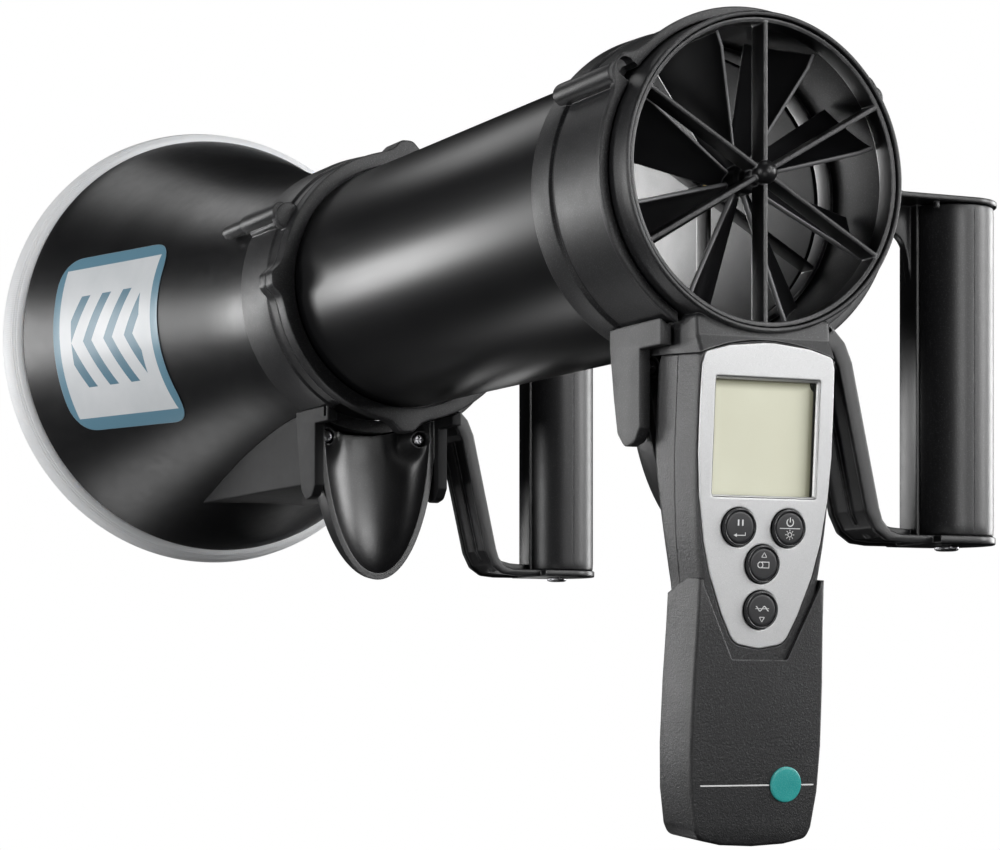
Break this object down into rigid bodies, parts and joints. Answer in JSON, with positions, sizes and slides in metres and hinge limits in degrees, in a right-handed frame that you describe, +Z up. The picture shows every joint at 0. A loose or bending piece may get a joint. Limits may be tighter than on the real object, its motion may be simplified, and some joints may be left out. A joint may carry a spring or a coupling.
{
  "type": "vane anemometer",
  "caption": "Handheld vane anemometer plugged into a volume-flow straightener tube with side handles and a round air-outlet funnel with a soft seal.",
  "frame": {"origin": "centre of the whole object's bounding box", "axes": "+Y along the duct axis from the vane towards the funnel, +Z up with the handset hanging along -Z, +X towards the two handles"},
  "size_m": [0.2124, 0.5224, 0.326],
  "materials": {
    "grained_black": "fine moulded grain, matte",
    "sleeve_black": "fine spark-eroded texture, matte",
    "glossy_tube_black": "smooth extruded plastic, glossy",
    "satin_black": "satin moulded plastic",
    "grip_black": "fine texture, satin",
    "impeller_black": "smooth moulded plastic",
    "seal_white": "soft translucent elastomer",
    "honeycomb_light": "light moulded plastic",
    "faceplate_silver": "silver metallic lacquer, satin",
    "button_black": "satin with printed symbols",
    "display_glass": "clear window",
    "display_grey": "reflective liquid crystal, beige green",
    "board_green": "solder-masked laminate",
    "keypad_rubber": "silicone rubber",
    "battery_blue": "printed steel can",
    "snap_black": "plain moulded plastic",
    "steel": "turned and zinc plated",
    "bearing_brass": "machined",
    "label_print": "printed film, satin",
    "badge_print": "printed disc, satin"
  },
  "bodies": {
    "straightener": {"straightener_tube": "glossy_tube_black", "front_collar": "grained_black", "rear_collar": "grained_black", "honeycomb_insert": "honeycomb_light", "front_cradle": "grained_black", "front_cradle_screw_left": "steel", "front_cradle_screw_right": "steel", "front_handle_bracket": "satin_black", "front_grip": "grip_black", "front_grip_screw": "steel"},
    "funnel": {"funnel_adapter": "grained_black", "funnel_cone": "satin_black", "funnel_seal_ring": "seal_white", "rear_cradle": "grained_black", "rear_cradle_screw_left": "steel", "rear_cradle_screw_right": "steel", "rear_handle_bracket": "satin_black", "rear_grip": "grip_black", "rear_grip_screw": "steel", "bell_gusset": "satin_black", "funnel_label": "label_print"},
    "instrument": {"vane_housing": "grained_black", "front_guard": "satin_black", "rear_guard": "satin_black", "front_bearing": "bearing_brass", "rear_bearing": "bearing_brass", "speed_pickup": "snap_black", "handset_front_shell": "grained_black", "handset_rear_shell": "grained_black", "shell_screw_left": "steel", "shell_screw_right": "steel", "lower_sleeve": "sleeve_black", "faceplate": "faceplate_silver", "display_window": "display_glass", "display_module": "display_grey", "circuit_board": "board_green", "keypad_mat": "keypad_rubber", "battery_block": "battery_blue", "battery_snap": "snap_black", "badge": "badge_print"},
    "impeller": {"impeller": "impeller_black", "vane_axle": "steel"},
    "hold_button": {"hold_button": "button_black"},
    "power_button": {"power_button": "button_black"},
    "volume_button": {"volume_button": "button_black"},
    "mean_button": {"mean_button": "button_black"},
    "battery_cover": {"battery_cover": "grained_black"}
  },
  "joints": [
    {"name": "instrument_slide", "type": "slide", "parent": "straightener", "child": "instrument", "axis": [0, -1, 0], "range_m": [0, 0.09]},
    {"name": "funnel_slide", "type": "slide", "parent": "straightener", "child": "funnel", "axis": [0, 1, 0], "range_m": [0, 0.06]},
    {"name": "impeller_spin", "type": "hinge", "parent": "instrument", "child": "impeller", "pos_m": [-0.0008, -0.25885, 0.05764], "axis": [0, 1, 0], "continuous": true},
    {"name": "hold_button_press", "type": "slide", "parent": "instrument", "child": "hold_button", "axis": [0, 0.9973, 0.0732], "range_m": [0, 0.0008], "stiffness_N_per_m": 900},
    {"name": "power_button_press", "type": "slide", "parent": "instrument", "child": "power_button", "axis": [0, 0.9973, 0.0732], "range_m": [0, 0.0008], "stiffness_N_per_m": 900},
    {"name": "volume_button_press", "type": "slide", "parent": "instrument", "child": "volume_button", "axis": [0, 0.9973, 0.0732], "range_m": [0, 0.0008], "stiffness_N_per_m": 900},
    {"name": "mean_button_press", "type": "slide", "parent": "instrument", "child": "mean_button", "axis": [0, 0.9973, 0.0732], "range_m": [0, 0.0008], "stiffness_N_per_m": 900},
    {"name": "battery_cover_slide", "type": "slide", "parent": "instrument", "child": "battery_cover", "axis": [0, 0.0732, -0.9973], "range_m": [0, 0.07], "stiffness_N_per_m": 250}
  ]
}
